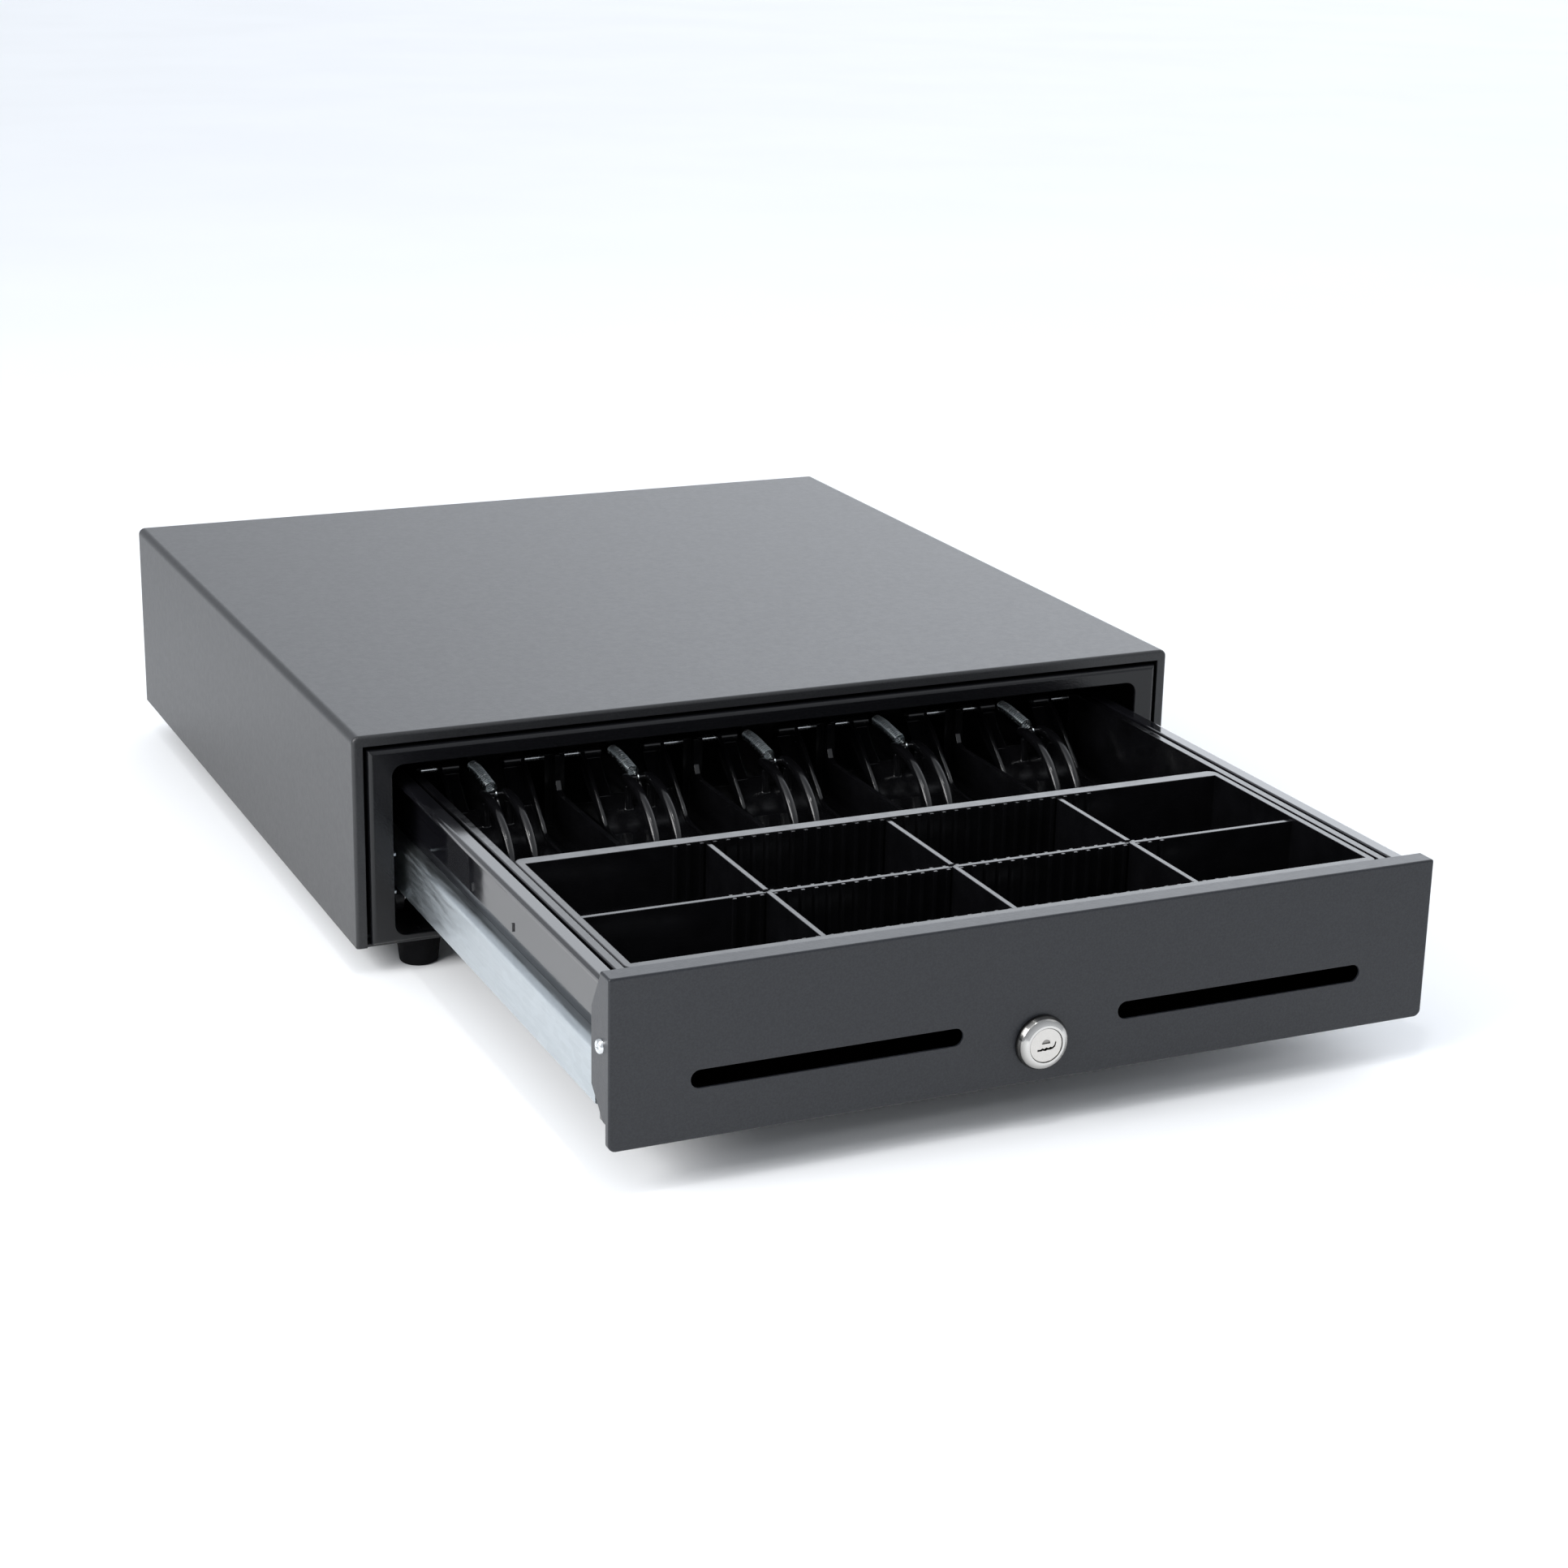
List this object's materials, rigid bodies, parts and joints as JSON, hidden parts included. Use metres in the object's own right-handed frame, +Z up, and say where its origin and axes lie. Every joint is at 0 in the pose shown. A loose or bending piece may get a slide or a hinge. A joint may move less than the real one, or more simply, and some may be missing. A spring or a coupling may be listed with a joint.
{
  "type": "cash drawer",
  "caption": "Steel point-of-sale cash drawer standing open on rails, with sprung note clips, lift-out coin tray, key lock and media slots.",
  "frame": {"origin": "on the surface the feet stand on, under the middle of the whole object with its drawer open", "axes": "+X to the right seen from the front, +Y to the back of the case, +Z up"},
  "size_m": [0.41, 0.671, 0.1126],
  "materials": {
    "powder_coat": "satin, fine-grained powder coat",
    "gloss_paint": "gloss stoved paint",
    "gloss_plastic": "gloss moulded",
    "black_plastic": "fine matt",
    "rubber": "matt",
    "galvanised": "zinc-plated sheet, satin",
    "zinc_screw": "bright zinc",
    "spring_steel": "bright wire",
    "black_screw": "black zinc",
    "satin_nickel": "satin nickel",
    "nylon": "black nylon",
    "coil_wrap": "wrapped winding"
  },
  "bodies": {
    "case": {"case_cover": "powder_coat", "case_base": "powder_coat", "front_frame": "powder_coat", "rear_panel": "powder_coat", "cable_socket": "black_plastic", "rubber_feet": "rubber", "foot_screws": "zinc_screw", "cover_screws": "black_screw", "idler_pins": "zinc_screw", "lock_keeper": "galvanised", "mech_deck": "galvanised", "pivot_post": "zinc_screw", "solenoid_frame": "galvanised", "solenoid_coil": "coil_wrap", "spring_post": "zinc_screw", "lever_spring": "spring_steel", "ejector_cup": "black_plastic", "ejector_spring": "spring_steel", "microswitch": "black_plastic", "channel_left": "galvanised", "channel_right": "galvanised"},
    "drawer": {"drawer_pan": "gloss_paint", "drawer_front": "powder_coat", "drawer_rail_left": "galvanised", "drawer_rail_right": "galvanised", "roller_pins": "zinc_screw", "front_screws": "zinc_screw", "striker": "galvanised", "till_ledges": "gloss_paint", "till": "gloss_plastic", "clip_axles": "zinc_screw", "lock_housing": "satin_nickel", "lock_nut": "zinc_screw", "clip_spring_1": "spring_steel", "clip_spring_2": "spring_steel", "clip_spring_3": "spring_steel", "clip_spring_4": "spring_steel", "clip_spring_5": "spring_steel"},
    "coin_tray": {"coin_tray": "gloss_plastic", "coin_dividers": "gloss_plastic"},
    "lock_core": {"lock_plug": "satin_nickel", "lock_cam": "galvanised", "cam_screw": "zinc_screw"},
    "solenoid_plunger": {"plunger": "zinc_screw"},
    "lever": {"latch_lever": "galvanised"},
    "switch_blade": {"switch_lever": "galvanised"},
    "idler_l": {"idler_left": "nylon"},
    "idler_r": {"idler_right": "nylon"},
    "roller_l": {"roller_left": "nylon"},
    "roller_r": {"roller_right": "nylon"},
    "clip_1": {"bill_clip_1": "gloss_plastic"},
    "clip_2": {"bill_clip_2": "gloss_plastic"},
    "clip_3": {"bill_clip_3": "gloss_plastic"},
    "clip_4": {"bill_clip_4": "gloss_plastic"},
    "clip_5": {"bill_clip_5": "gloss_plastic"}
  },
  "joints": [
    {"name": "drawer_slide", "type": "slide", "parent": "case", "child": "drawer", "axis": [0, -1, 0], "range_m": [-0.2517, 0], "deforming": ["ejector_spring"]},
    {"name": "tray_lift", "type": "slide", "parent": "drawer", "child": "coin_tray", "axis": [0, 0, 1], "range_m": [0, 0.08]},
    {"name": "lock_turn", "type": "hinge", "parent": "drawer", "child": "lock_core", "pos_m": [0, -0.3307, 0.0385], "axis": [0, 1, 0], "range_deg": [0, 90]},
    {"name": "plunger_pull", "type": "slide", "parent": "case", "child": "solenoid_plunger", "axis": [-1, 0, 0], "range_m": [0, 0.0049], "stiffness_N_per_m": 120, "springref_m": -0.004},
    {"name": "lever_swing", "type": "hinge", "parent": "case", "child": "lever", "pos_m": [-0.022, 0.2805, 0.05], "axis": [0, 0, -1], "range_deg": [0, 12], "deforming": ["lever_spring"]},
    {"name": "switch_press", "type": "hinge", "parent": "case", "child": "switch_blade", "pos_m": [0.0386, 0.233, 0.043], "axis": [0, 0, 1], "range_deg": [0, 4], "stiffness_Nm_per_rad": 0.01, "springref_deg": -2.86},
    {"name": "clip_1_lift", "type": "hinge", "parent": "drawer", "child": "clip_1", "pos_m": [-0.1368, -0.0475, 0.0838], "axis": [-1, 0, 0], "range_deg": [0, 30], "stiffness_Nm_per_rad": 0.02, "springref_deg": -51.57, "deforming": ["clip_spring_1"]},
    {"name": "clip_2_lift", "type": "hinge", "parent": "drawer", "child": "clip_2", "pos_m": [-0.0684, -0.0475, 0.0838], "axis": [-1, 0, 0], "range_deg": [0, 30], "stiffness_Nm_per_rad": 0.02, "springref_deg": -51.57, "deforming": ["clip_spring_2"]},
    {"name": "clip_3_lift", "type": "hinge", "parent": "drawer", "child": "clip_3", "pos_m": [0, -0.0475, 0.0838], "axis": [-1, 0, 0], "range_deg": [0, 30], "stiffness_Nm_per_rad": 0.02, "springref_deg": -51.57, "deforming": ["clip_spring_3"]},
    {"name": "clip_4_lift", "type": "hinge", "parent": "drawer", "child": "clip_4", "pos_m": [0.0684, -0.0475, 0.0838], "axis": [-1, 0, 0], "range_deg": [0, 30], "stiffness_Nm_per_rad": 0.02, "springref_deg": -51.57, "deforming": ["clip_spring_4"]},
    {"name": "clip_5_lift", "type": "hinge", "parent": "drawer", "child": "clip_5", "pos_m": [0.1368, -0.0475, 0.0838], "axis": [-1, 0, 0], "range_deg": [0, 30], "stiffness_Nm_per_rad": 0.02, "springref_deg": -51.57, "deforming": ["clip_spring_5"]},
    {"name": "idler_l_spin", "type": "hinge", "parent": "case", "child": "idler_l", "pos_m": [-0.179, -0.0535, 0.0272], "axis": [1, 0, 0], "continuous": true},
    {"name": "roller_l_spin", "type": "hinge", "parent": "drawer", "child": "roller_l", "pos_m": [-0.186, 0.0525, 0.044], "axis": [1, 0, 0], "continuous": true},
    {"name": "idler_r_spin", "type": "hinge", "parent": "case", "child": "idler_r", "pos_m": [0.179, -0.0535, 0.0272], "axis": [1, 0, 0], "continuous": true},
    {"name": "roller_r_spin", "type": "hinge", "parent": "drawer", "child": "roller_r", "pos_m": [0.186, 0.0525, 0.044], "axis": [1, 0, 0], "continuous": true}
  ],
  "couplings": [
    {"joint": "lever_swing", "follows": "plunger_pull", "rad_per_m": 42.743},
    {"joint": "roller_l_spin", "follows": "drawer_slide", "rad_per_m": 125},
    {"joint": "idler_l_spin", "follows": "drawer_slide", "rad_per_m": -166.67},
    {"joint": "roller_r_spin", "follows": "drawer_slide", "rad_per_m": 125},
    {"joint": "idler_r_spin", "follows": "drawer_slide", "rad_per_m": -166.67}
  ]
}
